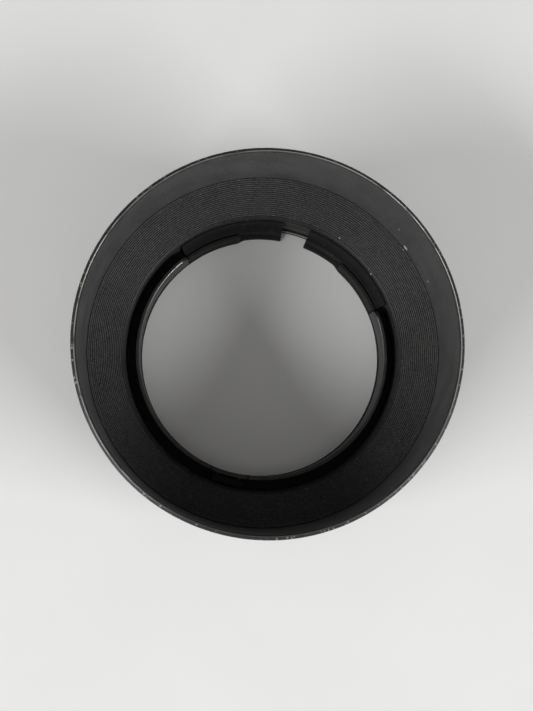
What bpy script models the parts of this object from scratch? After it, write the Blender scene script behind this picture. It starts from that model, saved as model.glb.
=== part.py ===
"""Turned metal lens hood with a push-and-twist rear mount.

The hood stands on its rear face with its mouth up: +Z is the optical axis, the origin is on
that axis at the rear face, and the key notch of the mount points along +Y. A bearing is an
angle in degrees, clockwise from +Y as seen from above, so the notch is at bearing 0.
"""

import math

import bmesh
import bpy
from mathutils import Matrix, Vector

MM = 0.001

# Driving dimensions
RIM_RADIUS = 41.25 * MM
HEIGHT = 36.5 * MM
MOUTH_RADIUS = 40.05 * MM
BAFFLE_TOP = 17.4 * MM
THROAT_RADIUS = 32.0 * MM
THROAT_HEIGHT = 9.15 * MM
LENS_BORE_RADIUS = 28.65 * MM
BAND_INNER_RADIUS = 28.8 * MM
BAND_OUTER_RADIUS = 29.6 * MM
GAP = 0.3 * MM
SCREW_CLEARANCE = 0.12 * MM

# Front barrel and baffle: two walls that follow the same cone
BAFFLE_WALL = 1.3 * MM
BARREL_WALL = 1.25 * MM
RIM_FLAT = (40.35 * MM, 40.65 * MM)
RIM_INNER_DROP = 0.3 * MM
RIM_OUTER_DROP = 0.6 * MM
BAFFLE_NOSE = 1.0 * MM
SPIGOT_RADIUS = 34.0 * MM
SPIGOT_BOTTOM = 5.3 * MM

# Rear collar and mount ring
COLLAR_RADIUS = 36.3 * MM
COLLAR_CHAMFER = 0.3 * MM
MOUNT_THICKNESS = 1.6 * MM
MOUNT_RADIUS = 36.0 * MM
MOUNT_CHAMFER = 0.3 * MM
RELIEF_RADIUS = 29.2 * MM
RELIEF_HALF_ANGLE = 25.0
NOTCH_RADIUS = 31.45 * MM
NOTCH_HALF_ANGLE = 6.0
GUIDE_TOP = 5.7 * MM
GUIDE_START_ANGLE = 25.4
BRIDGE_HALF_ANGLE = 52.5

# Stop segments beside the notch
LEDGE_RADIUS = 30.95 * MM
SEGMENT_TOP = 9.0 * MM
SEGMENT_TOP_RADIUS = 31.45 * MM

# Grip band: a fixed root and two springy arms
BAND_BOTTOM = MOUNT_THICKNESS + GAP
ARM_TIP_BEARING = 53.1
ARM_ROOT_BEARING = 171.0
PIVOT_BEARING = 171.3
ROOT_BEARING = 171.6
ARM_CORNER_RADIUS = 2.4 * MM
ARM_TIP_BEND = 0.2 * MM
ARM_BEND_ANGLE = 35.0
BLOCK_TOP = 7.5 * MM
BLOCK_HALF_ANGLE = 7.0

# Fasteners: shank radius, head radius and the height that the tip reaches
HEAD_DEPTH = 0.5 * MM
HEAD_SETBACK = 0.1 * MM
SLOT_WIDTH = 0.3 * MM
SLOT_DEPTH = 0.3 * MM
SMALL_SCREW = {"shank": 0.5 * MM, "head": 0.9 * MM, "tip": 4.4 * MM}
COLLAR_SCREW = {"shank": 0.7 * MM, "head": 1.3 * MM, "tip": 4.5 * MM}
INNER_SCREW_CIRCLE = 30.8 * MM
COLLAR_SCREW_CIRCLE = 34.0 * MM
SEGMENT_SCREW_BEARINGS = (14, 44, -14, -44)
BLOCK_SCREW_BEARINGS = (176.5, 183.5)
COLLAR_SCREW_BEARINGS = (28, 118, -28, -118)
RIVET_BEARINGS = (175.0, 185.0)
RIVET_HEIGHT = 5.9 * MM
RIVET_RADIUS = 0.5 * MM
RIVET_HEAD_RADIUS = 0.85 * MM
RIVET_HEAD_DEPTH = 0.35 * MM
RIVET_HEAD_LAND = 0.05 * MM
RIVET_FACE = BAND_INNER_RADIUS + 0.02 * MM
GRUB_BEARINGS = (60, 180, 300)
GRUB_HEIGHT = 7.0 * MM
GRUB_RADIUS = 0.8 * MM
DOT_HEIGHT = 19.0 * MM
DOT_RADIUS = 1.1 * MM
DOT_DEPTH = 0.45 * MM

RING_STEPS = 96
ARC_STEP = 1.25
SCREW_STEPS = 16

for leftover in list(bpy.data.objects):
    bpy.data.objects.remove(leftover, do_unlink=True)
hood = bpy.data.collections.new("lens_hood")
cutters = bpy.data.collections.new("cutters")
bpy.context.scene.collection.children.link(hood)
bpy.context.scene.collection.children.link(cutters)


def metal(name, colour, roughness, metallic):
    material = bpy.data.materials.new(name)
    material.use_nodes = True
    shader = material.node_tree.nodes["Principled BSDF"]
    shader.inputs["Base Color"].default_value = (*colour, 1.0)
    shader.inputs["Roughness"].default_value = roughness
    shader.inputs["Metallic"].default_value = metallic
    return material


BLACK_SATIN = metal("black_satin_anodise", (0.035, 0.035, 0.037), 0.5, 0.4)
BLACK_MATT = metal("black_matt_paint", (0.03, 0.03, 0.031), 0.7, 0.0)
BLACK_SPRING = metal("blackened_spring_metal", (0.045, 0.045, 0.047), 0.42, 0.7)
SCREW_STEEL = metal("blued_screw_steel", (0.06, 0.06, 0.065), 0.35, 0.9)
ENAMEL = metal("white_index_enamel", (0.75, 0.74, 0.70), 0.4, 0.0)


def place(radius, bearing, height):
    """The point at this distance from the axis, bearing and height."""
    turn = math.radians(bearing)
    return Vector((radius * math.sin(turn), radius * math.cos(turn), height))


def add(name, mesh, material=None):
    """A new object in the hood, or a hidden cutter when it has no material."""
    piece = bpy.data.objects.new(name, mesh)
    if material is None:
        piece.hide_render = True
        piece.display_type = "WIRE"
        cutters.objects.link(piece)
    else:
        mesh.materials.append(material)
        hood.objects.link(piece)
    return piece


def shade(mesh):
    mesh.shade_smooth()
    mesh.set_sharp_from_angle(angle=math.radians(30))


def turned(name, profile, material=None, steps=RING_STEPS, closed=True):
    """A ring or a pin: the profile, of (radius, height), runs down its outer side."""
    mesh = bpy.data.meshes.new(name)
    edges = [(i, i + 1) for i in range(len(profile) - 1)]
    if closed:
        edges.append((len(profile) - 1, 0))
    mesh.from_pydata([(radius, 0.0, height) for radius, height in profile], edges, [])
    piece = add(name, mesh, material)
    screw = piece.modifiers.new("turn", "SCREW")
    screw.axis = "Z"
    screw.angle = math.tau
    screw.steps = steps
    screw.render_steps = steps
    screw.use_merge_vertices = True
    screw.merge_threshold = 0.000005
    screw.use_normal_calculate = False
    graph = bpy.context.evaluated_depsgraph_get()
    baked = bpy.data.meshes.new_from_object(piece.evaluated_get(graph))
    piece.modifiers.clear()
    piece.data = baked
    baked.name = name
    shade(baked)
    return piece


def arc(name, profile, start, end, material=None):
    """Part of a ring: the profile swept about the axis between two bearings."""
    bm = bmesh.new()
    face = bm.faces.new([bm.verts.new(place(radius, start, height)) for radius, height in profile])
    swept = [face, *face.edges, *face.verts]
    steps = max(1, round(abs(end - start) / ARC_STEP))
    turn = math.radians(end - start)
    bmesh.ops.spin(bm, geom=swept, cent=(0, 0, 0), axis=(0, 0, -1), angle=turn, steps=steps)
    bmesh.ops.recalc_face_normals(bm, faces=bm.faces)
    mesh = bpy.data.meshes.new(name)
    bm.to_mesh(mesh)
    bm.free()
    shade(mesh)
    return add(name, mesh, material)


def box(name, size, material=None):
    bm = bmesh.new()
    bmesh.ops.create_cube(bm, size=1.0, matrix=Matrix.Diagonal((*size, 1.0)))
    mesh = bpy.data.meshes.new(name)
    bm.to_mesh(mesh)
    bm.free()
    return add(name, mesh, material)


def combine(piece, operation, others):
    for other in others:
        boolean = piece.modifiers.new(other.name, "BOOLEAN")
        boolean.operation = operation
        boolean.solver = "EXACT"
        boolean.object = other


def outward(bearing):
    """The turn that points a piece's own +Z away from the axis at this bearing."""
    return place(1.0, bearing, 0.0).to_track_quat("Z", "Y").to_euler()


def cone_radius(height, wall=0.0):
    """The radius of the funnel's cone at a height, or of the cone this far behind it."""
    slope = (MOUTH_RADIUS - THROAT_RADIUS) / (BAFFLE_TOP - THROAT_HEIGHT)
    return THROAT_RADIUS + slope * (height - THROAT_HEIGHT) + wall * math.hypot(1, slope)


def cone_height(radius, wall=0.0):
    slope = (MOUTH_RADIUS - THROAT_RADIUS) / (BAFFLE_TOP - THROAT_HEIGHT)
    return THROAT_HEIGHT + (radius - wall * math.hypot(1, slope) - THROAT_RADIUS) / slope


def make_front_barrel():
    """The outer shell: a bevelled rim, a straight tube, a cone and a spigot."""
    seat = BAFFLE_WALL + GAP
    back = seat + BARREL_WALL
    shelf = THROAT_HEIGHT - BAFFLE_NOSE - GAP
    profile = [
        (RIM_FLAT[1], HEIGHT),
        (RIM_RADIUS, HEIGHT - RIM_OUTER_DROP),
        (RIM_RADIUS, cone_height(RIM_RADIUS, back)),
        (cone_radius(THROAT_HEIGHT, back), THROAT_HEIGHT),
        (SPIGOT_RADIUS, THROAT_HEIGHT),
        (SPIGOT_RADIUS, SPIGOT_BOTTOM),
        (THROAT_RADIUS, SPIGOT_BOTTOM),
        (THROAT_RADIUS, shelf),
        (cone_radius(shelf, seat), shelf),
        (MOUTH_RADIUS, cone_height(MOUTH_RADIUS, seat)),
        (MOUTH_RADIUS, HEIGHT - RIM_INNER_DROP),
        (RIM_FLAT[0], HEIGHT),
    ]
    barrel = turned("front_barrel", profile, BLACK_SATIN)
    floor = RIM_RADIUS - DOT_DEPTH - SCREW_CLEARANCE
    pocket_profile = [
        (0.0, DOT_DEPTH * 2),
        (DOT_RADIUS + SCREW_CLEARANCE, DOT_DEPTH * 2),
        (DOT_RADIUS + SCREW_CLEARANCE, 0.0),
        (0.0, 0.0),
    ]
    pocket = turned("dot_pocket", pocket_profile, steps=24, closed=False)
    pocket.location = place(floor, 0, DOT_HEIGHT)
    pocket.rotation_euler = outward(0)
    combine(barrel, "DIFFERENCE", [pocket])


def make_index_dot():
    """The enamel dot that lines the hood up with the lens."""
    profile = [(0.0, DOT_DEPTH), (DOT_RADIUS, DOT_DEPTH), (DOT_RADIUS, 0.0), (0.0, 0.0)]
    dot = turned("index_dot", profile, ENAMEL, steps=24, closed=False)
    dot.location = place(RIM_RADIUS - DOT_DEPTH - SCREW_CLEARANCE / 2, 0, DOT_HEIGHT)
    dot.rotation_euler = outward(0)


def make_baffle():
    """The funnel insert inside the barrel."""
    rim = MOUTH_RADIUS - GAP
    nose = THROAT_HEIGHT - BAFFLE_NOSE
    profile = [
        (rim, cone_height(rim)),
        (rim, cone_height(rim, BAFFLE_WALL)),
        (cone_radius(nose, BAFFLE_WALL), nose),
        (THROAT_RADIUS, nose),
        (THROAT_RADIUS, THROAT_HEIGHT),
    ]
    turned("ribbed_baffle", profile, BLACK_MATT)


def countersunk_screw(name, size, circle, bearing):
    """One slotted screw, put in from the rear face."""
    profile = [
        (0.0, size["tip"]),
        (size["shank"], size["tip"]),
        (size["shank"], HEAD_SETBACK + HEAD_DEPTH),
        (size["head"], HEAD_SETBACK),
        (0.0, HEAD_SETBACK),
    ]
    screw = turned(name, profile, SCREW_STEEL, SCREW_STEPS, closed=False)
    slot = box(name + "_slot", (size["head"] * 3, SLOT_WIDTH, SLOT_DEPTH * 2))
    for piece in (screw, slot):
        piece.location = place(circle, bearing, 0.0)
        piece.rotation_euler = (0.0, 0.0, math.radians(-bearing * 3))
    slot.location.z = HEAD_SETBACK
    combine(screw, "DIFFERENCE", [slot])


def screw_hole(name, size, circle, bearing):
    """The cutter for one screw's clearance hole and countersink."""
    wide = size["head"] + SCREW_CLEARANCE
    narrow = size["shank"] + SCREW_CLEARANCE
    profile = [
        (0.0, size["tip"] + SCREW_CLEARANCE),
        (narrow, size["tip"] + SCREW_CLEARANCE),
        (narrow, HEAD_SETBACK + HEAD_DEPTH + SCREW_CLEARANCE),
        (wide, HEAD_SETBACK + SCREW_CLEARANCE),
        (wide, -MM),
        (0.0, -MM),
    ]
    hole = turned(name, profile, None, SCREW_STEPS, closed=False)
    hole.location = place(circle, bearing, 0.0)
    return hole


def make_screws():
    """Every screw in the rear face. Returns their holes, by the piece each one holds."""
    sets = {
        "segment": (SMALL_SCREW, INNER_SCREW_CIRCLE, SEGMENT_SCREW_BEARINGS),
        "block": (SMALL_SCREW, INNER_SCREW_CIRCLE, BLOCK_SCREW_BEARINGS),
        "collar": (COLLAR_SCREW, COLLAR_SCREW_CIRCLE, COLLAR_SCREW_BEARINGS),
    }
    holes = {}
    for held, (size, circle, bearings) in sets.items():
        holes[held] = []
        for number, bearing in enumerate(bearings, 1):
            name = f"{held}_screw_{number}"
            countersunk_screw(name, size, circle, bearing)
            holes[held].append(screw_hole(name + "_hole", size, circle, bearing))
    return holes


def make_mount_ring(holes):
    """The rear ring: lens bore, lug relief, key notch and two low guide walls."""
    profile = [
        (MOUNT_RADIUS, MOUNT_THICKNESS),
        (MOUNT_RADIUS, MOUNT_CHAMFER),
        (MOUNT_RADIUS - MOUNT_CHAMFER, 0.0),
        (LENS_BORE_RADIUS, 0.0),
        (LENS_BORE_RADIUS, MOUNT_THICKNESS),
    ]
    ring = turned("mount_ring", profile, BLACK_SATIN)
    guide = [
        (BAND_OUTER_RADIUS, GUIDE_TOP),
        (BAND_OUTER_RADIUS, MOUNT_THICKNESS / 2),
        (BAND_INNER_RADIUS, MOUNT_THICKNESS / 2),
        (BAND_INNER_RADIUS, GUIDE_TOP),
    ]
    walls = [
        arc(f"guide_{side}", guide, sign * GUIDE_START_ANGLE, sign * BRIDGE_HALF_ANGLE)
        for side, sign in (("right", 1), ("left", -1))
    ]
    combine(ring, "UNION", walls)

    def opening(name, radius, half_angle):
        outline = [
            (radius, MOUNT_THICKNESS + MM),
            (radius, -MM),
            (LENS_BORE_RADIUS - MM, -MM),
            (LENS_BORE_RADIUS - MM, MOUNT_THICKNESS + MM),
        ]
        return arc(name, outline, -half_angle, half_angle)

    relief = opening("relief", RELIEF_RADIUS, RELIEF_HALF_ANGLE)
    notch = opening("notch", NOTCH_RADIUS, NOTCH_HALF_ANGLE)
    combine(ring, "DIFFERENCE", [relief, notch])
    combine(ring, "DIFFERENCE", [hole for group in holes.values() for hole in group])


def make_rear_collar(holes):
    """The grip ring that joins the barrel to the mount ring."""
    bottom = MOUNT_THICKNESS + GAP
    top = THROAT_HEIGHT - GAP
    profile = [
        (COLLAR_RADIUS - COLLAR_CHAMFER, top),
        (COLLAR_RADIUS, top - COLLAR_CHAMFER),
        (COLLAR_RADIUS, bottom + COLLAR_CHAMFER),
        (COLLAR_RADIUS - COLLAR_CHAMFER, bottom),
        (THROAT_RADIUS, bottom),
        (THROAT_RADIUS, SPIGOT_BOTTOM - GAP),
        (SPIGOT_RADIUS + GAP, SPIGOT_BOTTOM - GAP),
        (SPIGOT_RADIUS + GAP, top),
    ]
    collar = turned("rear_collar", profile, BLACK_SATIN)
    radius = GRUB_RADIUS + SCREW_CLEARANCE
    length = COLLAR_RADIUS - THROAT_RADIUS
    bore = [(0.0, length), (radius, length), (radius, 0.0), (0.0, 0.0)]
    for number, bearing in enumerate(GRUB_BEARINGS, 1):
        hole = turned(f"grub_hole_{number}", bore, None, SCREW_STEPS, closed=False)
        hole.location = place(SPIGOT_RADIUS + GAP / 2, bearing, GRUB_HEIGHT)
        hole.rotation_euler = outward(bearing)
        combine(collar, "DIFFERENCE", [hole])
    combine(collar, "DIFFERENCE", holes)


def make_grub_screws():
    """Headless screws that lock the barrel's spigot in the collar."""
    inner = SPIGOT_RADIUS + SCREW_CLEARANCE
    length = COLLAR_RADIUS - COLLAR_CHAMFER - inner
    profile = [(0.0, length), (GRUB_RADIUS, length), (GRUB_RADIUS, 0.0), (0.0, 0.0)]
    for number, bearing in enumerate(GRUB_BEARINGS, 1):
        name = f"grub_screw_{number}"
        grub = turned(name, profile, SCREW_STEEL, SCREW_STEPS, closed=False)
        slot = box(name + "_slot", (GRUB_RADIUS * 3, SLOT_WIDTH, SLOT_DEPTH * 2))
        for piece, radius in ((grub, inner), (slot, inner + length)):
            piece.location = place(radius, bearing, GRUB_HEIGHT)
            piece.rotation_euler = outward(bearing)
        combine(grub, "DIFFERENCE", [slot])


def make_stop_segments(holes):
    """Two curved blocks between the notch and the ends of the grip band."""
    outer = THROAT_RADIUS - GAP
    inner = BAND_OUTER_RADIUS + GAP
    profile = [
        (outer, SEGMENT_TOP),
        (outer, BAND_BOTTOM),
        (inner, BAND_BOTTOM),
        (inner, GUIDE_TOP),
        (LEDGE_RADIUS, GUIDE_TOP),
        (SEGMENT_TOP_RADIUS, SEGMENT_TOP),
    ]
    for side, sign, mine in (("right", 1, holes[:2]), ("left", -1, holes[2:])):
        ends = (sign * NOTCH_HALF_ANGLE, sign * BRIDGE_HALF_ANGLE)
        segment = arc(f"stop_segment_{side}", profile, *ends, BLACK_MATT)
        combine(segment, "DIFFERENCE", mine)


def band_profile():
    return [
        (BAND_OUTER_RADIUS, THROAT_HEIGHT),
        (BAND_OUTER_RADIUS, BAND_BOTTOM),
        (BAND_INNER_RADIUS, BAND_BOTTOM),
        (BAND_INNER_RADIUS, THROAT_HEIGHT),
    ]


def make_grip_arms():
    """The two free arms, which close in a little at their tips, where they grip the lens.

    Each has a rounded top corner at its tip, and its origin on its bending axis.
    """
    middle = (BAND_INNER_RADIUS + BAND_OUTER_RADIUS) / 2
    for side, sign in (("right", 1), ("left", -1)):
        ends = (sign * ARM_TIP_BEARING, sign * ARM_ROOT_BEARING)
        arm = arc(f"grip_arm_{side}", band_profile(), *ends, BLACK_SPRING)
        for vertex in arm.data.vertices:
            from_tip = abs(math.degrees(math.atan2(vertex.co.x, vertex.co.y))) - ARM_TIP_BEARING
            inside = max(0.0, ARM_CORNER_RADIUS - math.radians(from_tip) * middle)
            if vertex.co.z > THROAT_HEIGHT - GAP and inside > 0.0:
                lift = math.sqrt(max(0.0, ARM_CORNER_RADIUS**2 - inside**2))
                vertex.co.z -= ARM_CORNER_RADIUS - lift
            bend = ARM_TIP_BEND * max(0.0, 1.0 - from_tip / ARM_BEND_ANGLE) ** 2
            vertex.co.xy *= 1.0 - bend / middle
        pivot = place(middle, sign * PIVOT_BEARING, BAND_BOTTOM)
        arm.data.transform(Matrix.Translation(-pivot))
        arm.location = pivot


def root_rivet(name, bearing, clearance=0.0, reach=0.0, material=None):
    """A countersunk rivet, or with clearance the cutter for its hole, which reaches inward."""
    wide = RIVET_HEAD_RADIUS + clearance
    narrow = RIVET_RADIUS + clearance
    length = THROAT_RADIUS - GAP * 2 - RIVET_FACE + clearance
    profile = [
        (0.0, length),
        (narrow, length),
        (narrow, RIVET_HEAD_DEPTH + clearance),
        (wide, RIVET_HEAD_LAND + clearance),
        (wide, -reach),
        (0.0, -reach),
    ]
    rivet = turned(name, profile, material, SCREW_STEPS, closed=False)
    rivet.location = place(RIVET_FACE, bearing, RIVET_HEIGHT)
    rivet.rotation_euler = outward(bearing)
    return rivet


def make_band_root(holes):
    """The fixed middle of the grip band, riveted to a block that is screwed down."""
    root = arc("band_root", band_profile(), ROOT_BEARING, 360.0 - ROOT_BEARING, BLACK_SPRING)
    outer = THROAT_RADIUS - GAP
    inner = BAND_OUTER_RADIUS + GAP
    profile = [(outer, BLOCK_TOP), (outer, BAND_BOTTOM), (inner, BAND_BOTTOM), (inner, BLOCK_TOP)]
    ends = (180.0 - BLOCK_HALF_ANGLE, 180.0 + BLOCK_HALF_ANGLE)
    block = arc("root_block", profile, *ends, BLACK_SATIN)
    combine(block, "DIFFERENCE", holes)
    for number, bearing in enumerate(RIVET_BEARINGS, 1):
        root_rivet(f"root_rivet_{number}", bearing, material=SCREW_STEEL)
        hole = root_rivet(f"root_rivet_hole_{number}", bearing, SCREW_CLEARANCE, MM)
        combine(root, "DIFFERENCE", [hole])
        combine(block, "DIFFERENCE", [hole])


holes_for = make_screws()
make_front_barrel()
make_index_dot()
make_baffle()
make_mount_ring(holes_for)
make_rear_collar(holes_for["collar"])
make_grub_screws()
make_stop_segments(holes_for["segment"])
make_grip_arms()
make_band_root(holes_for["block"])
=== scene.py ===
import math

import bmesh
import bpy
from mathutils import Matrix, Vector


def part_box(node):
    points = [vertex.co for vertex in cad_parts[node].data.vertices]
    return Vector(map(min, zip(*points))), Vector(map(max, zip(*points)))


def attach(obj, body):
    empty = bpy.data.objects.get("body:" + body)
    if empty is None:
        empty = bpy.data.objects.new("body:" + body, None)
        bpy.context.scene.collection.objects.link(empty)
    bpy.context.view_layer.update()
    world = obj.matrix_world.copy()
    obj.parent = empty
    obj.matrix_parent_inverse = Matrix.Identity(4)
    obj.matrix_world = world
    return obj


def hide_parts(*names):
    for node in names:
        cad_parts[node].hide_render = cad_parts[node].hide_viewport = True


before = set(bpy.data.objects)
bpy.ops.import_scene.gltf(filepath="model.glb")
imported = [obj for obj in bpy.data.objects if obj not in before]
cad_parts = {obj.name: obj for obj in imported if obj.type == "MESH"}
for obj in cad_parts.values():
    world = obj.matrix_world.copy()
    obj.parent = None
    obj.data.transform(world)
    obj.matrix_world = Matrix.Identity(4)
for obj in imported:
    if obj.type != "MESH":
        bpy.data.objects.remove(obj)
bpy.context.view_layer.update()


# The mount ring is the hood's flat rear face, turned from aluminium and dyed black. Its bore
# slips over the lens, a shallow relief and a square notch clear the index key of the lens, and
# two thin guide walls stand on it in line with the grip band. Screws hold it to the collar.
MM = 0.001
MOUNT_TOP = 1.6
BORE = 28.65
RELIEF = 29.2
RELIEF_FULL = 22.6
RELIEF_END = 27.2
NOTCH = 31.45
NOTCH_HALF = 5.8
GUIDE_START = 25.4
GUIDE_END = 52.5
BAND = (28.8, 29.6)
BAND_ROOM = 0.3
GUIDE_FOOT = 0.8
RING_STEP = 1.0
SMALL_SCREW = {"shank": 0.5, "head": 0.9, "tip": 4.4}
COLLAR_SCREW = {"shank": 0.7, "head": 1.3, "tip": 4.5}
SMALL_CIRCLE = 30.8
COLLAR_CIRCLE = 34.0
SCREWS = {
    "segment": (SMALL_SCREW, SMALL_CIRCLE, (14, 44, -14, -44)),
    "block": (SMALL_SCREW, SMALL_CIRCLE, (176.5, 183.5)),
    "collar": (COLLAR_SCREW, COLLAR_CIRCLE, (28, 118, -28, -118)),
}
HEAD_SETBACK = 0.1
HEAD_DEPTH = 0.5
SCREW_ROOM = 0.12
EDGE_ANGLE = 32.0
# The colour of bare metal, which also paints highlights on the rim's line and on the band's upper edge.
BARE_METAL_AND_HIGHLIGHT = (0.56, 0.55, 0.52, 1.0)
DUST = (0.42, 0.41, 0.37, 1.0)


def corners(node):
    """A solid's lowest and highest corners in millimetres."""
    return [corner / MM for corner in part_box(node)]


def place(radius, bearing, height):
    """A spot from millimetres and degrees. Bearing 0 is the notch, +Y, and 90 is +X."""
    turn = math.radians(bearing)
    return Vector((radius * math.sin(turn), radius * math.cos(turn), height)) * MM


def spaced(start, end, step):
    """Bearings from start to end, about a step apart."""
    count = max(1, round(abs(end - start) / step))
    return [start + (end - start) * i / count for i in range(count + 1)]


def eased(outline, cut, steps=3):
    """An outline with each corner cut back by this much and rounded. The axis stays as it is."""
    points = []
    for i, point in enumerate(outline):
        corner = Vector(point)
        if corner.x < 0.001:
            points.append(corner)
            continue
        before = Vector(outline[i - 1]) - corner
        after = Vector(outline[(i + 1) % len(outline)]) - corner
        back = min(cut, before.length * 0.45, after.length * 0.45)
        start = corner + before.normalized() * back
        end = corner + after.normalized() * back
        for k in range(steps + 1):
            t = k / steps
            points.append(start * (1 - t) ** 2 + corner * 2 * t * (1 - t) + end * t**2)
    return points


def sharpen(mesh):
    """Shades a mesh smooth, apart from its real edges."""
    mesh.shade_smooth()
    mesh.set_sharp_from_angle(angle=math.radians(EDGE_ANGLE))


def swept(name, section, bearings, whole=False):
    """A solid swept round the axis. section(bearing) gives its outline there, in millimetres."""
    bm = bmesh.new()
    rows = []
    for bearing in bearings:
        rows.append([bm.verts.new(place(r, bearing, z)) for r, z in section(bearing)])
    following = rows[1:] + rows[:1] if whole else rows[1:]
    for row, after in zip(rows, following):
        for i in range(len(row)):
            bm.faces.new((row[i], after[i], after[i - 1], row[i - 1]))
    if not whole:
        bm.faces.new(rows[0])
        bm.faces.new(rows[-1])
    bmesh.ops.remove_doubles(bm, verts=bm.verts, dist=1e-7)
    bmesh.ops.recalc_face_normals(bm, faces=bm.faces)
    mesh = bpy.data.meshes.new(name)
    bm.to_mesh(mesh)
    bm.free()
    sharpen(mesh)
    piece = bpy.data.objects.new(name, mesh)
    bpy.context.scene.collection.objects.link(piece)
    return piece


def turned(name, outline, step=RING_STEP):
    """A full ring or a pin with one outline all the way round."""
    return swept(name, lambda bearing: outline, spaced(0.0, 360.0, step)[:-1], whole=True)


def settle(piece):
    """Turns a piece's modifiers into its mesh."""
    graph = bpy.context.evaluated_depsgraph_get()
    mesh = bpy.data.meshes.new_from_object(piece.evaluated_get(graph))
    piece.modifiers.clear()
    piece.data = mesh
    sharpen(mesh)


def worked(piece, tools, operation="DIFFERENCE"):
    """Cuts other shapes out of a piece, or joins them to it, and uses them up."""
    for tool in tools:
        boolean = piece.modifiers.new(tool.name, "BOOLEAN")
        boolean.operation = operation
        boolean.solver = "EXACT"
        boolean.object = tool
    settle(piece)
    for tool in tools:
        bpy.data.objects.remove(tool)


def softened(piece, width, angle=35):
    """Breaks a piece's sharp edges, as a file or a tumbler does."""
    bevel = piece.modifiers.new("edges", "BEVEL")
    bevel.width = width * MM
    bevel.segments = 2
    bevel.limit_method = "ANGLE"
    bevel.angle_limit = math.radians(angle)
    settle(piece)


def screw_holes(held):
    """The drills that make one set of countersunk holes."""
    size, circle, bearings = SCREWS[held]
    wide = size["head"] + SCREW_ROOM
    narrow = size["shank"] + SCREW_ROOM
    outline = [
        (0.0, size["tip"] + SCREW_ROOM),
        (narrow, size["tip"] + SCREW_ROOM),
        (narrow, HEAD_SETBACK + HEAD_DEPTH + SCREW_ROOM),
        (wide, HEAD_SETBACK + SCREW_ROOM),
        (wide + 0.06, 0.0),
        (wide + 0.06, -1.0),
        (0.0, -1.0),
    ]
    drills = []
    for bearing in bearings:
        drill = turned(f"{held}_drill", outline, step=7.5)
        drill.location = place(circle, bearing, 0.0)
        drills.append(drill)
    return drills


class Wire:
    """A value, colour or vector inside a finish. Sums on values add Math nodes."""

    def __init__(self, socket):
        self.socket = socket

    def node(self, kind, settings=None, sockets=None, out=0):
        """Any other node: its settings are made first, then its sockets."""
        made = self.socket.id_data.nodes.new("ShaderNode" + kind)
        for setting, value in (settings or {}).items():
            setattr(made, setting, value)
        join(made, sockets or {})
        return Wire(made.outputs[out])

    def maths(self, operation, *others):
        return self.node("Math", {"operation": operation}, dict(enumerate((self, *others))))

    def __add__(self, other):
        return self.maths("ADD", other)

    def __sub__(self, other):
        return self.maths("SUBTRACT", other)

    def __mul__(self, other):
        return self.maths("MULTIPLY", other)

    def __truediv__(self, other):
        return self.maths("DIVIDE", other)

    def __pow__(self, other):
        return self.maths("POWER", other)

    def __rsub__(self, other):
        return self.node("Math", {"operation": "SUBTRACT"}, {0: other, 1: self})

    __radd__ = __add__
    __rmul__ = __mul__

    def between(self, low, high):
        """0 below low, 1 above high, and a smooth rise from one to the other."""
        span = {"Value": self, "From Min": low, "From Max": high}
        return self.node("MapRange", {"interpolation_type": "SMOOTHSTEP"}, span)

    def near(self, middle, reach):
        """1 at the middle value, falling to 0 this far on either side."""
        return 1 - (self - middle).maths("ABSOLUTE").between(0.0, reach)

    def parts(self, kind="SeparateXYZ"):
        return [Wire(part) for part in self.node(kind, sockets={0: self}).socket.node.outputs]


def join(node, sockets):
    """Gives a node's sockets, by name or number, their values or wires."""
    for key, value in sockets.items():
        if isinstance(value, Wire):
            node.id_data.links.new(value.socket, node.inputs[key])
        else:
            node.inputs[key].default_value = value


def new_finish(name):
    """A new material: itself, its shader, and the spot on the piece in millimetres."""
    material = bpy.data.materials.new(name)
    material.use_nodes = True
    shader = material.node_tree.nodes["Principled BSDF"]
    local = Wire(material.node_tree.nodes.new("ShaderNodeTexCoord").outputs["Object"])
    spot = local.node("VectorMath", {"operation": "SCALE"}, {0: local, "Scale": 1 / MM})
    return material, shader, spot


def mixed(share, below, above):
    """A colour between two colours."""
    return share.node("Mix", {"data_type": "RGBA"}, {"Factor": share, 6: below, 7: above}, out=2)


def cloud(spot, spacing, detail=2.0):
    """Soft random patches about this many millimetres across, from 0 to 1."""
    return spot.node("TexNoise", {}, {"Vector": spot, "Scale": 1 / spacing, "Detail": detail})


def from_axis(spot):
    """The spot's distance from the lens axis, its height, and its direction as x and y."""
    x, y, height = spot.parts()
    radius = (x * x + y * y) ** 0.5
    return radius, height, x / radius, y / radius


def towards(east, north, bearing):
    """1 on the side at this bearing, 0 square to it and -1 opposite."""
    turn = math.radians(bearing)
    return east * math.sin(turn) + north * math.cos(turn)


def lathe_lines(spot, spacing):
    """Fine lines that run round the axis, as a lathe tool leaves them."""
    radius, height, east, north = from_axis(spot)
    lane = (radius + height * 0.7) / spacing
    wound = spot.node("CombineXYZ", sockets={0: east * 3, 1: north * 3, 2: lane})
    return cloud(wound, 1.0, detail=3.0)


def grains(spot, spacing, size, share):
    """Scattered grains of dust or nicks: one cell in so many holds one."""
    settings = {"feature": "F1", "distance": "EUCLIDEAN"}
    cell = spot.node("TexVoronoi", settings, {"Vector": spot, "Scale": 1 / spacing})
    reach, colour = (Wire(cell.socket.node.outputs[key]) for key in ("Distance", "Color"))
    chance = colour.parts("SeparateColor")[0]
    inside = 1 - reach.between(size / spacing * 0.5, size / spacing)
    return inside * chance.between(1 - share, 1 - share + 0.002)


def dusted(spot, share):
    """How much dust lies on a spot: a few coarse grains, more small ones and faint fine ones."""
    coarse = grains(spot, 2.6, 0.15, share * 0.7) * 0.7
    small = grains(spot, 1.1, 0.1, share * 1.8) * 0.55
    return coarse + small + grains(spot, 0.6, 0.1, share * 1.6) * 0.14


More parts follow.
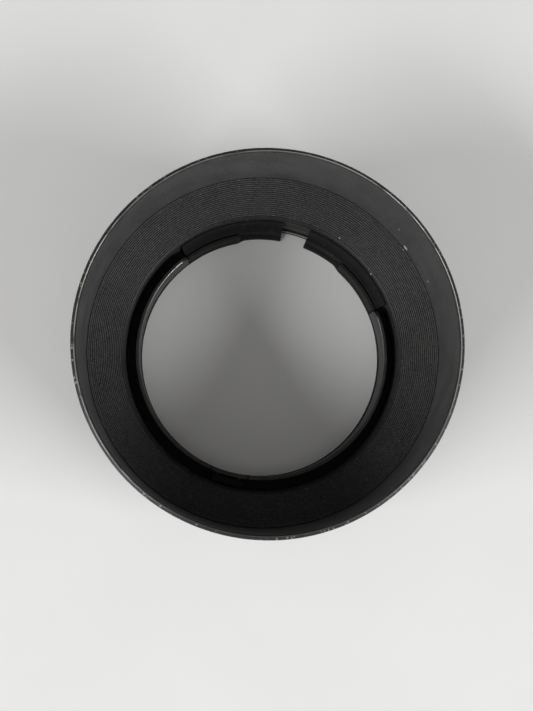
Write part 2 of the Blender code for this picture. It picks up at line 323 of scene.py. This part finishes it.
def chips(spot, marks):
    """1 on each chip, from its radius, bearing, height and size in millimetres."""
    chipped = []
    for radius, bearing, height, size in marks:
        middle = place(radius, bearing, height) / MM
        gap = spot.node("VectorMath", {"operation": "DISTANCE"}, {0: spot, 1: middle}, out=1)
        chipped.append(1 - gap.between(size * 0.7, size))
    return sum(chipped)


def black_anodise(name, grey, roughness, shine, lines, dust, marks=(), wear_and_highlight=None, shade_and_roughness=None):
    """Black dyed anodising over turned aluminium. The bare-metal mask gives where bare metal shows,
    which on the rim is partly a painted highlight.
    The shade mask gives where painted shade makes the black deeper, and how much rougher the surface is."""
    material, shader, spot = new_finish(name)
    turning = lathe_lines(spot, lines)
    patches = cloud(spot, 6.0, detail=4.0)
    mottle = cloud(spot, 0.7, detail=3.0)
    tone = (turning * 0.3 + patches * 0.35 + mottle * 0.35).between(0.36, 0.64)
    deep = (grey * 0.7, grey * 0.71, grey * 0.76, 1.0)
    faded = (grey * 1.28, grey * 1.28, grey * 1.28, 1.0)
    colour = mixed(tone, deep, faded)
    sheen = roughness + (patches - 0.5) * 0.12 + (turning - 0.5) * 0.1
    if shade_and_roughness:
        painted_shade, rougher = shade_and_roughness(spot)
        # Painted shade: the black is made deeper on the rim's crown and chamfer and low in the barrel.
        colour = mixed(painted_shade, colour, (grey * 0.3, grey * 0.3, grey * 0.34, 1.0))
        sheen = sheen + rougher
    colour = mixed(dusted(spot, dust) + chips(spot, marks), colour, DUST)
    if wear_and_highlight:
        # Bare metal where the mask is high; on the rim this line is partly a painted highlight.
        metal = wear_and_highlight(spot)
        colour = mixed(metal, colour, BARE_METAL_AND_HIGHLIGHT)
        sheen = sheen * (1 - metal * 0.35)
        join(shader, {"Metallic": metal})
    bump = {"Height": turning, "Distance": 0.02 * MM, "Strength": 0.35}
    join(shader, {
        "Base Color": colour,
        "Specular IOR Level": shine,
        "Roughness": sheen,
        "Normal": turning.node("Bump", sockets=bump),
    })
    return material


def mount_section(bearing):
    """The ring's outline: its inner edge steps out for the relief and again for the notch."""
    away = abs(bearing)
    if away <= NOTCH_HALF:
        inner = NOTCH
    else:
        share = min(1.0, max(0.0, (away - RELIEF_FULL) / (RELIEF_END - RELIEF_FULL)))
        inner = RELIEF + (BORE - RELIEF) * share * share * (3 - 2 * share)
    outer = mount_radius
    outline = [(outer, MOUNT_TOP), (outer, 0.0), (inner, 0.0), (inner, MOUNT_TOP)]
    return eased(outline, 0.14)


mount_radius = corners("mount_ring")[1].x
guide_top = corners("mount_ring")[1].z
side = [NOTCH_HALF, NOTCH_HALF + 0.02, *spaced(NOTCH_HALF + 0.5, 179.5, RING_STEP)]
bearings = [-bearing for bearing in reversed(side)] + spaced(-5.0, 5.0, 1.0) + side
mount = swept("mount_ring_metal", mount_section, bearings, whole=True)
guide_outline = [
    (BAND[1], guide_top),
    (BAND[1], GUIDE_FOOT),
    (BAND[0], GUIDE_FOOT),
    (BAND[0], guide_top),
]
guide = eased(guide_outline, 0.1)
guides = []
for sign in (1, -1):
    span = spaced(sign * GUIDE_START, sign * GUIDE_END, 0.75)
    wall = swept("guide_wall", lambda bearing: guide, span)
    softened(wall, 0.1)
    guides.append(wall)
worked(mount, guides, "UNION")
worked(mount, [drill for held in SCREWS for drill in screw_holes(held)])


def rubbed_mount(spot):
    """Bright rubbing on the bore's lower edge and, in patches, on the face below."""
    radius, height, east, north = from_axis(spot)
    patches = cloud(spot, 3.5, detail=6.0)
    edge = radius.near(BORE + 0.1, 0.22) * height.near(0.05, 0.25) * patches.between(0.42, 0.6)
    relief = radius.near(RELIEF + 0.05, 0.2) * height.near(0.1, 0.25) * north.between(0.9, 0.93)
    lug = radius.near(NOTCH, 0.3) * height.near(MOUNT_TOP - 0.1, 0.35) * north.between(0.99, 0.995)
    scuffs = (1 - height.between(0.0, 0.03)) * patches.between(0.66, 0.8) * 0.5
    return edge + relief * 0.5 + lug * 0.8 + scuffs


mount.data.materials.append(black_anodise(
    "mount_black", grey=0.019, roughness=0.72, shine=0.1, lines=0.16, dust=0.12, wear_and_highlight=rubbed_mount
))
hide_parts("mount_ring")
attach(mount, "hood")


# Two stop segments fill the space beside the notch. They are curved blocks of blacked brass with
# a low ledge behind the guide wall and a steep back wall that carries three fine turned lines.
LEDGE = 30.95
STOP_HEAD = 31.45
STOP_OUTER = 31.92
WALL_LINES = (0.28, 0.5, 0.72)
LINE_HALF = 0.05
LINE_DEPTH = 0.13


def stop_outline(top, bottom):
    """The segment's outline: its ledge, and its back wall with the turned lines cut in."""
    inner = BAND[1] + BAND_ROOM
    foot, head = Vector((LEDGE, guide_top)), Vector((STOP_HEAD, top))
    outline = [(STOP_OUTER, top), (STOP_OUTER, bottom), (inner, bottom), (inner, guide_top)]
    outline.append(tuple(foot))
    for middle in WALL_LINES:
        cut = ((middle - LINE_HALF, 0.0), (middle, LINE_DEPTH), (middle + LINE_HALF, 0.0))
        for share, depth in cut:
            on_wall = foot.lerp(head, share)
            outline.append((on_wall.x + depth, on_wall.y))
    outline.append(tuple(head))
    return eased(outline, 0.1)


def matt_black(name, grey, roughness, shine, dust, marks=(), crests_rubbed_and_lit=None):
    """A black coat over turned metal, rubbed and dusty, with a few pale chips. The crest mask is
    where the coat stands up, has been rubbed paler and carries a painted highlight."""
    material, shader, spot = new_finish(name)
    patches = cloud(spot, 4.5, detail=5.0)
    grit = cloud(spot, 0.22, detail=2.0)
    deep = (grey * 0.55, grey * 0.58, grey * 0.72, 1.0)
    faded = (grey * 1.7, grey * 1.69, grey * 1.64, 1.0)
    colour = mixed((patches * 0.3 + grit * 0.7).between(0.34, 0.66), deep, faded)
    if crests_rubbed_and_lit:
        # The crests are made paler: partly rubbing, partly a painted highlight.
        pale = (grey * 5.2, grey * 5.2, grey * 5.0, 1.0)
        colour = mixed(crests_rubbed_and_lit(spot) * grit.between(0.3, 0.62), colour, pale)
    colour = mixed(dusted(spot, dust) + chips(spot, marks), colour, DUST)
    bump = {"Height": grit, "Distance": 0.03 * MM, "Strength": 0.5}
    join(shader, {
        "Base Color": colour,
        "Specular IOR Level": shine,
        "Roughness": roughness + (patches - 0.5) * 0.12 + (grit - 0.5) * 0.2,
        "Normal": grit.node("Bump", sockets=bump),
    })
    return material


stop_black = matt_black("stop_black", grey=0.011, roughness=0.68, shine=0.1, dust=0.25)
for side_name, sign in (("right", 1), ("left", -1)):
    node = f"stop_segment_{side_name}"
    low, high = corners(node)
    outline = stop_outline(high.z, low.z)
    span = spaced(sign * (NOTCH_HALF + 0.2), sign * GUIDE_END, 0.75)
    stop = swept(node + "_metal", lambda bearing: outline, span)
    worked(stop, screw_holes("segment"))
    stop.data.materials.append(stop_black)
    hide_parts(node)
    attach(stop, "hood")


# The grip band is a strip of blackened spring steel that hugs the lens. Its middle is riveted to
# a block opposite the notch, and its two arms are free, with rounded upper corners at their tips,
# which close in a little. The lens has rubbed the upper edge bright, and a painted highlight
# adds to it on the lit sides, most at the left tip.
ARM_TIP = 53.1
ARM_ROOT = 171.0
ROOT_START = 171.6
TIP_CORNER = 2.4
TIP_BEND = 0.2
BEND_ANGLE = 35.0
band_low, band_high = corners("grip_arm_right")
band_bottom, band_top = band_low.z, band_high.z
band_middle = sum(BAND) / 2


def band_section(bearing):
    """The strip's outline, lower where the tip's corner is rounded off, and bent in there."""
    from_tip = min(abs(bearing), 360 - abs(bearing)) - ARM_TIP
    inside = max(0.0, TIP_CORNER - math.radians(from_tip) * band_middle)
    top = band_top - TIP_CORNER + math.sqrt(TIP_CORNER**2 - inside**2)
    bend = TIP_BEND * max(0.0, 1.0 - from_tip / BEND_ANGLE) ** 2
    inner, outer = BAND[0] - bend, BAND[1] - bend
    outline = [(outer, top), (outer, band_bottom), (inner, band_bottom), (inner, top)]
    return eased(outline, 0.13, steps=4)


def spring_black(name):
    """Blackened spring steel with drawn lines along it, and bare metal along its upper edge that is
    partly a painted highlight.
    """
    material, shader, spot = new_finish(name)
    radius, height, east, north = from_axis(spot)
    drawn = lathe_lines(spot, 0.12)
    patches = cloud(spot, 3.0, detail=5.0)
    deep, faded = (0.02, 0.02, 0.023, 1.0), (0.034, 0.034, 0.036, 1.0)
    colour = mixed(patches.between(0.3, 0.7), deep, faded)
    # The bright upper edge is partly a painted highlight: none on the shaded side opposite the notch,
    # and strongest at the left tip.
    edge = height.between(band_top - 0.2, band_top - 0.06) * north.between(-0.55, -0.1)
    inner = radius.near(BAND[0] - TIP_BEND / 2, 0.24)
    left_tip = (0 - east).between(0.6, 0.75) * north.between(-0.1, 0.15)
    wear_and_highlight = edge * inner * (0.4 + left_tip * 0.6) * patches.between(0.2, 0.4)
    colour = mixed(dusted(spot, 0.1), mixed(wear_and_highlight, colour, BARE_METAL_AND_HIGHLIGHT), DUST)
    bump = {"Height": drawn, "Distance": 0.012 * MM, "Strength": 0.4}
    join(shader, {
        "Base Color": colour,
        "Specular IOR Level": 0.35,
        "Roughness": 0.48 + (patches - 0.5) * 0.15 - wear_and_highlight * 0.14,
        "Metallic": 0.25 + wear_and_highlight * 0.75,
        "Normal": drawn.node("Bump", sockets=bump),
    })
    return material


band_black = spring_black("band_black")
for side_name, sign in (("right", 1), ("left", -1)):
    node = f"grip_arm_{side_name}"
    rounded_tip = spaced(ARM_TIP + 0.02, ARM_TIP + 5.0, 0.25)
    span = [sign * b for b in rounded_tip + spaced(ARM_TIP + 5.75, ARM_ROOT, 0.75)]
    arm = swept(node + "_metal", band_section, span)
    arm.data.materials.append(band_black)
    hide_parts(node)
    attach(arm, f"{side_name}_arm")


# The band's root, its block and two countersunk rivets. The block is a black aluminium packer
# that two small screws pull down on the mount ring, and the rivets pass through both.
BLOCK_HALF = 7.0
RIVETS = (175.0, 185.0)
RIVET_HEIGHT = 5.9
RIVET = {"shank": 0.5, "head": 0.85, "land": 0.05, "depth": 0.35}
RIVET_FACE = BAND[0] + 0.02
RIVET_END = 31.4
BLOCK_OUTER = 31.7


def outward(bearing):
    """The turn that points a pin's own +Z away from the axis."""
    return place(1.0, bearing, 0.0).to_track_quat("Z", "Y").to_euler()


def rivet_shape(name, bearing, room=0.0, reach=0.0):
    """A countersunk rivet, or with some room round it the drill for its hole."""
    wide, narrow = RIVET["head"] + room, RIVET["shank"] + room
    length = RIVET_END - RIVET_FACE + room
    outline = [
        (0.0, length),
        (narrow, length),
        (narrow, RIVET["depth"] + room),
        (wide, RIVET["land"] + room),
        (wide, -reach),
        (0.0, -reach),
    ]
    rivet = turned(name, eased(outline, 0.04), step=7.5)
    rivet.location = place(RIVET_FACE, bearing, RIVET_HEIGHT)
    rivet.rotation_euler = outward(bearing)
    return rivet


def blued_steel(name):
    """Blued screw steel: dark, polished, with fine turned rings and a few bright rubs."""
    material, shader, spot = new_finish(name)
    rings = lathe_lines(spot, 0.07)
    patches = cloud(spot, 0.6, detail=3.0)
    colour = mixed(patches.between(0.3, 0.7), (0.05, 0.052, 0.06, 1.0), (0.11, 0.11, 0.12, 1.0))
    rub = patches.between(0.62, 0.75)
    bump = {"Height": rings, "Distance": 0.01 * MM, "Strength": 0.35}
    join(shader, {
        "Base Color": mixed(rub, colour, BARE_METAL_AND_HIGHLIGHT),
        "Roughness": 0.3 + rings * 0.15,
        "Metallic": 0.85,
        "Normal": rings.node("Bump", sockets=bump),
    })
    return material


block_low, block_high = corners("root_block")
root = swept("band_root_metal", band_section, spaced(ROOT_START, 360 - ROOT_START, 0.5))
block_outline = [
    (BLOCK_OUTER, block_high.z),
    (BLOCK_OUTER, block_low.z),
    (BAND[1] + BAND_ROOM, block_low.z),
    (BAND[1] + BAND_ROOM, block_high.z),
]
block_span = spaced(180 - BLOCK_HALF, 180 + BLOCK_HALF, 0.5)
block = swept("root_block_metal", lambda bearing: block_outline, block_span)
softened(block, 0.15)
worked(block, screw_holes("block"))
screw_blue = blued_steel("screw_blue")
for number, bearing in enumerate(RIVETS, 1):
    for piece in (root, block):
        worked(piece, [rivet_shape("rivet_drill", bearing, SCREW_ROOM, 1.0)])
    node = f"root_rivet_{number}"
    rivet = rivet_shape(node + "_metal", bearing)
    rivet.data.materials.append(screw_blue)
    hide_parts(node)
    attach(rivet, "hood")
root.data.materials.append(band_black)
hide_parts("band_root")
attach(root, "hood")
block.data.materials.append(black_anodise(
    "block_black", grey=0.009, roughness=0.6, shine=0.1, lines=0.2, dust=0.05
))
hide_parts("root_block")
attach(block, "hood")


# Ten slotted countersunk screws of blued steel come up through the mount ring: four hold the stop
# segments, two the root block and four larger ones the collar. Their threads are cut rings here.
THREAD_PITCH = 0.25
THREAD_DEPTH = 0.05
SLOT_WIDTH = 0.3
SLOT_DEPTH = 0.3


def slot_cutter(length, floor, mouth):
    """A square bar that cuts a screwdriver slot between two heights."""
    bm = bmesh.new()
    size = Matrix.Diagonal((length * MM, SLOT_WIDTH * MM, abs(mouth - floor) * MM, 1.0))
    middle = Matrix.Translation((0.0, 0.0, (floor + mouth) / 2 * MM))
    bmesh.ops.create_cube(bm, size=1.0, matrix=middle @ size)
    mesh = bpy.data.meshes.new("slot")
    bm.to_mesh(mesh)
    bm.free()
    cutter = bpy.data.objects.new("slot", mesh)
    bpy.context.scene.collection.objects.link(cutter)
    return cutter


def threaded(radius, start, end):
    """Points down a threaded shank from one height to the next."""
    turns = max(2, round(abs(start - end) / THREAD_PITCH))
    points = []
    for i in range(turns * 2 + 1):
        share = i / (turns * 2)
        points.append((radius - THREAD_DEPTH * (i % 2), start + (end - start) * share))
    return points


for held, (size, circle, bearings) in SCREWS.items():
    neck = HEAD_SETBACK + HEAD_DEPTH
    outline = [(0.0, size["tip"]), (size["shank"] - 0.15, size["tip"])]
    outline += threaded(size["shank"], size["tip"] - 0.15, neck + 0.4)
    outline += [(size["shank"], neck), (size["head"], HEAD_SETBACK + 0.07)]
    outline += [(size["head"] - 0.06, HEAD_SETBACK), (0.0, HEAD_SETBACK)]
    for number, bearing in enumerate(bearings, 1):
        node = f"{held}_screw_{number}"
        screw = turned(node + "_metal", outline, step=7.5)
        floor = HEAD_SETBACK + SLOT_DEPTH
        worked(screw, [slot_cutter(size["head"] * 3, floor, HEAD_SETBACK - 0.3)])
        screw.location = place(circle, bearing, 0.0)
        screw.rotation_euler.z = math.radians(-3 * bearing)
        screw.data.materials.append(screw_blue)
        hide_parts(node)
        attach(screw, "hood")


# The rear collar is the ring that fingers hold to push and twist the hood. It is turned from
# aluminium, knurled round its lower half, and takes three grub screws in its plain upper half.
KNURL_TEETH = 132
KNURL_DEPTH = 0.28
TOOTH_STEPS = 6
COLLAR_INNER = 32.0
COLLAR_SEAT = 34.3
SEAT_HEIGHT = 5.0
COLLAR_GROOVE = 5.75
GRUBS = (60, 180, 300)
GRUB_HEIGHT = 7.0
GRUB_RADIUS = 0.8
collar_low, collar_high = corners("rear_collar")
collar_radius = collar_high.x


def collar_section(bearing):
    """The collar's outline. Below its groove the surface rises and falls with the knurl."""
    tooth = (bearing * KNURL_TEETH / 360) % 1.0
    cut = KNURL_DEPTH * abs(2 * tooth - 1) ** 1.6
    full, low, top = collar_radius, collar_low.z, collar_high.z
    outline = [
        (full - 0.3, top),
        (full, top - 0.3),
        (full, COLLAR_GROOVE + 0.25),
        (full - 0.3, COLLAR_GROOVE + 0.15),
        (full - 0.3, COLLAR_GROOVE - 0.15),
        (full - cut, COLLAR_GROOVE - 0.4),
        (full - cut, low + 0.35),
        (full - 0.35, low),
        (COLLAR_INNER, low),
        (COLLAR_INNER, SEAT_HEIGHT),
        (COLLAR_SEAT, SEAT_HEIGHT),
        (COLLAR_SEAT, top),
    ]
    return eased(outline, 0.06, steps=2)


def knurl_wear(spot):
    """Bare metal on the crests of the knurl and along the collar's corners, in patches."""
    radius, height, east, north = from_axis(spot)
    patches = cloud(spot, 2.2, detail=6.0)
    crests = radius.between(collar_radius - 0.05, collar_radius - 0.01)
    lower = 1 - height.between(COLLAR_GROOVE - 0.5, COLLAR_GROOVE - 0.3)
    corner = height.near(collar_high.z - 0.3, 0.12)
    corner = corner * radius.between(collar_radius - 0.1, collar_radius)
    return crests * lower * patches.between(0.52, 0.7) * 0.55 + corner * patches.between(0.5, 0.62) * 0.6


def drill_out(piece, radius, length, spot, bearing, step):
    """Drills a plain round hole straight outward from a spot in a piece."""
    bore = [(0.0, length), (radius, length), (radius, 0.0), (0.0, 0.0)]
    drill = turned("drill", bore, step)
    drill.location = spot
    drill.rotation_euler = outward(bearing)
    worked(piece, [drill])


knurl_span = spaced(0.0, 360.0, 360 / KNURL_TEETH / TOOTH_STEPS)[:-1]
collar = swept("rear_collar_metal", collar_section, knurl_span, whole=True)
worked(collar, screw_holes("collar"))
for bearing in GRUBS:
    seat_wall = place(COLLAR_SEAT - 0.2, bearing, GRUB_HEIGHT)
    drill_out(collar, GRUB_RADIUS + SCREW_ROOM, 3.0, seat_wall, bearing, step=10)
collar.data.materials.append(black_anodise(
    "collar_black", grey=0.024, roughness=0.45, shine=0.35, lines=0.14, dust=0.08, wear_and_highlight=knurl_wear
))
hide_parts("rear_collar")
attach(collar, "hood")


# Three headless grub screws of blued steel go in through the collar's plain upper half and lock
# the barrel's spigot in its seat. Each has a slot, and cut rings for its thread.
GRUB_INNER = 34.12
GRUB_SETBACK = 0.3
grub_length = collar_radius - GRUB_SETBACK - GRUB_INNER
for number, bearing in enumerate(GRUBS, 1):
    node = f"grub_screw_{number}"
    outline = [(0.0, grub_length), (GRUB_RADIUS - 0.08, grub_length)]
    outline += threaded(GRUB_RADIUS, grub_length - 0.08, 0.3)
    outline += [(GRUB_RADIUS - 0.3, 0.0), (0.0, 0.0)]
    grub = turned(node + "_metal", outline, step=7.5)
    worked(grub, [slot_cutter(GRUB_RADIUS * 3, grub_length - SLOT_DEPTH, grub_length + 0.3)])
    grub.location = place(GRUB_INNER, bearing, GRUB_HEIGHT)
    grub.rotation_euler = outward(bearing)
    grub.data.materials.append(screw_blue)
    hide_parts(node)
    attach(grub, "hood")


# The front barrel is the hood's outer shell, turned from one aluminium tube and dyed satin black.
# Its mouth ends in a thin crowned rim, rubbed to bare metal along a line that is partly a painted
# highlight, with painted shade on the dark crown and chamfer outside that line, and a fine groove just
# inside it.
# Its outside carries two shallow grooves and a cone, and its spigot sits in the collar.
MOUTH = 40.05
FUNNEL_TOP = 17.4
THROAT = 32.0
THROAT_HEIGHT = 9.15
BAFFLE_WALL = 1.3
BARREL_WALL = 1.25
JOINT = 0.16
SPIGOT = (34.0, 5.3)
FUNNEL_SLOPE = (MOUTH - THROAT) / (FUNNEL_TOP - THROAT_HEIGHT)
RIM_LINE = 40.47
GROOVES = (33.4, 32.2)
GROOVE_HALF = 0.22
GROOVE_DEPTH = 0.2
DOT_HEIGHT = 19.0
DOT_RADIUS = 1.1
DOT_DEPTH = 0.45
BARREL_CHIPS = [(40.05, 38.6, 18.9, 0.75), (40.05, 52.0, 21.0, 0.3), (40.05, 33.0, 24.0, 0.25)]
barrel_radius = corners("front_barrel")[1].x
rim_height = corners("front_barrel")[1].z


def funnel_radius(height, behind=0.0):
    """The funnel's radius at a height, or that of the cone this far behind its surface."""
    return THROAT + FUNNEL_SLOPE * (height - THROAT_HEIGHT) + behind * math.hypot(1, FUNNEL_SLOPE)


def funnel_height(radius, behind=0.0):
    """The height where the funnel, or the cone behind it, has this radius."""
    return THROAT_HEIGHT + (radius - behind * math.hypot(1, FUNNEL_SLOPE) - THROAT) / FUNNEL_SLOPE


seat = BAFFLE_WALL + JOINT
back = seat + BARREL_WALL
shelf = THROAT_HEIGHT - 1.0 - JOINT
outline = [
    (MOUTH, funnel_height(MOUTH, seat)),
    (MOUTH, rim_height - 0.42),
    (MOUTH + 0.07, rim_height - 0.3),
    (MOUTH + 0.16, rim_height - 0.55),
    (MOUTH + 0.26, rim_height - 0.16),
    (MOUTH + 0.36, rim_height - 0.03),
    (MOUTH + 0.46, rim_height),
    (MOUTH + 0.56, rim_height - 0.05),
    (barrel_radius - 0.12, rim_height - 0.4),
    (barrel_radius - 0.03, rim_height - 0.52),
    (barrel_radius, rim_height - 0.68),
]
for middle in GROOVES:
    outline += [
        (barrel_radius, middle + GROOVE_HALF),
        (barrel_radius - GROOVE_DEPTH, middle + GROOVE_HALF * 0.5),
        (barrel_radius - GROOVE_DEPTH, middle - GROOVE_HALF * 0.5),
        (barrel_radius, middle - GROOVE_HALF),
    ]
outline += [
    (barrel_radius, funnel_height(barrel_radius, back)),
    (funnel_radius(THROAT_HEIGHT, back), THROAT_HEIGHT),
    (SPIGOT[0], THROAT_HEIGHT),
    SPIGOT,
    (THROAT, SPIGOT[1]),
    (THROAT, shelf),
    (funnel_radius(shelf, seat), shelf),
]
barrel = turned("front_barrel_metal", eased(outline, 0.05, steps=2), step=0.75)
pocket_floor = place(barrel_radius - DOT_DEPTH - SCREW_ROOM, 0, DOT_HEIGHT)
drill_out(barrel, DOT_RADIUS + SCREW_ROOM, 1.0, pocket_floor, 0, step=7.5)


def rim_wear_and_highlight(spot):
    """Bare metal along the rim: a thin rubbed line that is partly a painted highlight, kept weak on the
    shaded side and at the north-west, nicks beside it, and the rubbed outer edge, with a painted
    highlight where it faces the left lamp."""
    radius, height, east, north = from_axis(spot)
    wound = spot.node("CombineXYZ", sockets={0: east * 40, 1: north * 40, 2: height})
    along = cloud(wound, 5.0, detail=6.0)
    top = height.between(rim_height - 0.6, rim_height - 0.4)
    # The bright line is partly a painted highlight, kept weak on the shaded side at bearing 150 and at
    # the north-west.
    shaded_side = towards(east, north, 150).between(0.4, 0.72)
    north_west_side = north.between(0.1, 0.5) * (0 - east).between(-0.4, 0.3)
    kept = (1 - shaded_side * 0.85) * (1 - north_west_side * 0.6)
    line = radius.near(RIM_LINE, 0.16) * along.between(0.3, 0.5) * kept
    nicked = 0.45 + (0 - east).between(0.75, 0.95) * 0.55
    nicks = radius.between(RIM_LINE + 0.1, RIM_LINE + 0.2) * grains(wound, 0.7, 0.3, 0.6) * nicked
    # A painted highlight on the outer edge where it faces the left lamp, at bearing about 224.
    lamp_facing_edge = towards(east, north, 223.8).between(0.978, 0.998)
    outer = radius.between(barrel_radius - 0.14, barrel_radius - 0.06) * (
        along.between(0.62, 0.68) + lamp_facing_edge * along.between(0.3, 0.4)
    )
    bare = (line * 0.9 + nicks * 0.9 + outer * 0.9) * top
    return bare.between(0.0, 1.0)


def rim_shade_and_roughness(spot):
    """Painted shade that deepens the black outside the rim's bright line, over the crown, the chamfer
    and the barrel's outside, and low down round the spigot's bore; the rim is made glossier and the
    spigot rougher.
    """
    radius, height, east, north = from_axis(spot)
    crown = radius.between(RIM_LINE, RIM_LINE + 0.12)
    spigot = 1 - height.between(THROAT_HEIGHT, THROAT_HEIGHT + 1.0)
    return crown + spigot, spigot * 0.3 - crown * 0.2


barrel.data.materials.append(black_anodise(
    "barrel_black", grey=0.054, roughness=0.5, shine=0.5, lines=0.2, dust=0.5,
    marks=BARREL_CHIPS, wear_and_highlight=rim_wear_and_highlight, shade_and_roughness=rim_shade_and_roughness
))
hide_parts("front_barrel")
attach(barrel, "hood")


# The ribbed baffle is a funnel pressed into the barrel. Fine turned ribs trap stray light, and a
# narrow plain land runs round its throat. Its black coat has been rubbed paler on the crests, which
# also carry a painted highlight.
RIB_START = 32.72
RIB_PITCH = 0.374
RIB_DEPTH = 0.22
RIB_CREST = 0.4
BAFFLE_CHIPS = [(33.1, 18.2, 10.3, 0.2), (32.2, 38.1, 9.35, 0.2), (39.9, 38.5, 17.3, 0.25)]
baffle_rim = MOUTH - JOINT


def ribs():
    """The ribbed face, from the land outward: a flat crest and a V-shaped valley in turn."""
    count = int((baffle_rim - 0.1 - RIB_START) / RIB_PITCH)
    cone = math.hypot(1, FUNNEL_SLOPE)
    for i in range(count):
        start = RIB_START + i * RIB_PITCH
        for share, depth in ((0.0, 0.0), ((1 - RIB_CREST) / 2, RIB_DEPTH), (1 - RIB_CREST, 0.0)):
            radius = start + share * RIB_PITCH
            height = funnel_height(radius)
            yield radius + depth / cone, height - depth * FUNNEL_SLOPE / cone


nose = THROAT_HEIGHT - 1.0
baffle_outline = [
    (THROAT, nose),
    (THROAT, THROAT_HEIGHT),
    *ribs(),
    (baffle_rim, funnel_height(baffle_rim)),
    (baffle_rim, funnel_height(baffle_rim, BAFFLE_WALL)),
    (funnel_radius(nose, BAFFLE_WALL), nose),
]
baffle = turned("ribbed_baffle_metal", eased(baffle_outline, 0.03, steps=1), step=0.75)


def rib_crests(spot):
    """The crests of the ribs, worked out from their pitch."""
    radius, height, east, north = from_axis(spot)
    across = ((radius - RIB_START) / RIB_PITCH).maths("FRACT")
    ribbed = radius.between(RIB_START - 0.05, RIB_START + 0.05)
    return across.near(1 - RIB_CREST / 2, 0.34) * ribbed


baffle.data.materials.append(matt_black(
    "baffle_black", grey=0.019, roughness=0.42, shine=0.15, dust=0.5,
    marks=BAFFLE_CHIPS, crests_rubbed_and_lit=rib_crests
))
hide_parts("ribbed_baffle")
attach(baffle, "hood")


# The index dot shows where the notch is when the hood goes on a lens. It is a drop of white
# enamel, slightly domed, in a shallow drilled pocket of the barrel.
DOT_CROWN = 0.12
CLEAN_ENAMEL = (0.78, 0.77, 0.72, 1.0)
STAINED_ENAMEL = (0.6, 0.58, 0.5, 1.0)
DOT_STEPS = 6
dome = [(0.0, 0.0), (DOT_RADIUS, 0.0)]
for i in range(DOT_STEPS):
    turn = i / DOT_STEPS * math.pi / 2
    dome.append((DOT_RADIUS * math.cos(turn), DOT_DEPTH - DOT_CROWN * (1 - math.sin(turn))))
dome.append((0.0, DOT_DEPTH))
dot = turned("index_dot_enamel", dome, step=6)
dot.location = place(barrel_radius - DOT_DEPTH - SCREW_ROOM / 2, 0, DOT_HEIGHT)
dot.rotation_euler = outward(0)
enamel, shader, spot = new_finish("white_enamel")
stain = cloud(spot, 0.5, detail=4.0)
bump = {"Height": stain, "Distance": 0.02 * MM, "Strength": 0.3}
join(shader, {
    "Base Color": mixed(stain.between(0.3, 0.75), CLEAN_ENAMEL, STAINED_ENAMEL),
    "Roughness": 0.3 + stain * 0.2,
    "Normal": stain.node("Bump", sockets=bump),
})
dot.data.materials.append(enamel)
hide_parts("index_dot")
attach(dot, "hood")


# The hood stands on its rear face on a plain pale table. The top is a matt board with a slight
# haze and a fine grit.
TABLE_HALF = 1.5
TABLE_DULL = (0.79, 0.79, 0.785, 1.0)
TABLE_CLEAN = (0.81, 0.81, 0.805, 1.0)
table_mesh = bpy.data.meshes.new("table")
bm = bmesh.new()
bmesh.ops.create_grid(bm, x_segments=1, y_segments=1, size=TABLE_HALF)
bm.to_mesh(table_mesh)
bm.free()
table = bpy.data.objects.new("table", table_mesh)
bpy.context.scene.collection.objects.link(table)
pale, shader, spot = new_finish("pale_table")
haze = cloud(spot, 45.0, detail=3.0)
grit = cloud(spot, 0.8, detail=3.0)
bump = {"Height": grit, "Distance": 0.02 * MM, "Strength": 0.2}
join(shader, {
    "Base Color": mixed(haze.between(0.3, 0.7), TABLE_DULL, TABLE_CLEAN),
    "Roughness": 0.6 + grit * 0.1,
    "Normal": grit.node("Bump", sockets=bump),
})
table_mesh.materials.append(pale)


# Two soft boxes stand off to the left and right of the table. The room adds a weak warm light,
# which fades towards its far side and is a little stronger overhead.
LAMPS = {
    # name: bearing, elevation, distance, width, height, radiance
    "left_box": (222.0, 34.0, 1.6, 1.06, 0.37, 14.8),
    "right_box": (103.5, 30.5, 1.6, 0.96, 0.45, 13.4),
}
ROOM_LIGHT = 0.3
ROOM_FAR_LIGHT = 0.1
ROOM_TOP_LIGHT = 0.14
ROOM_TINT = (1.0, 0.99, 0.965, 1.0)
BACKDROP = 0.72
for name, (bearing, elevation, distance, width, height, radiance) in LAMPS.items():
    tilt = math.radians(elevation)
    lamp = bpy.data.lights.new(name, "AREA")
    lamp.shape = "RECTANGLE"
    lamp.size, lamp.size_y = width, height
    lamp.energy = radiance * math.pi * width * height
    box = bpy.data.objects.new(name, lamp)
    bpy.context.scene.collection.objects.link(box)
    toward = place(1.0 / MM, bearing, 0.0) * math.cos(tilt) + Vector((0, 0, math.sin(tilt)))
    box.location = toward * distance
    box.rotation_euler = toward.to_track_quat("Z", "Y").to_euler()
room = bpy.data.worlds.new("room")
room.use_nodes = True
bpy.context.scene.world = room
air = room.node_tree.nodes["Background"]
seen = Wire(room.node_tree.nodes.new("ShaderNodeLightPath").outputs["Is Camera Ray"])
direction = Wire(room.node_tree.nodes.new("ShaderNodeTexCoord").outputs["Generated"])
east, north, up = direction.parts()
ambient = ROOM_LIGHT + north.between(-0.3, 0.6) * (ROOM_FAR_LIGHT - ROOM_LIGHT)
ambient = ambient + up.between(0.7, 0.95) * ROOM_TOP_LIGHT
join(air, {
    "Color": ROOM_TINT,
    "Strength": ambient + seen * (BACKDROP - ambient),
})


# The camera looks down into the mouth from almost straight above, a little in front of the axis
# and to its left. Its depth of field stays off.
LENS = 51.14
CAMERA_PLACE = (-6.592, -27.484, 244.733)
CAMERA_TURN = (5.884, -3.537, 15.296)
lens = bpy.data.cameras.new("camera")
lens.lens = LENS
lens.clip_start = 0.01
lens.clip_end = 20.0
camera = bpy.data.objects.new("camera", lens)
camera.location = Vector(CAMERA_PLACE) * MM
camera.rotation_euler = [math.radians(turn) for turn in CAMERA_TURN]
bpy.context.scene.collection.objects.link(camera)
bpy.context.scene.camera = camera
bpy.context.scene.view_settings.view_transform = "Standard"
